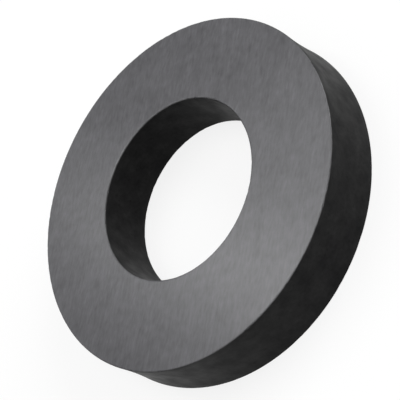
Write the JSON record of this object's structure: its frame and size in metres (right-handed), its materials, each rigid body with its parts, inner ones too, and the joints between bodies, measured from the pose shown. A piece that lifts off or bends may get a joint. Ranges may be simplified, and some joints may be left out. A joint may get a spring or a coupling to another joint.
{
  "type": "ring magnet",
  "caption": "Flat ring magnet of sintered ferrite: a thick round ring with a wide plain hole through it, ground pole faces and a dark as-fired rim.",
  "frame": {"origin": "centre of the lower ground face, which the ring lies on", "axes": "+Z along the ring's axis, up; the ring is round, so +X and +Y are any two directions across it"},
  "size_m": [0.06, 0.06, 0.01],
  "materials": {
    "sintered_ferrite": "matt charcoal ferrite, ground to a dull mid grey on the two flat faces"
  },
  "bodies": {
    "root": {"ferrite_ring": "sintered_ferrite"}
  },
  "joints": []
}
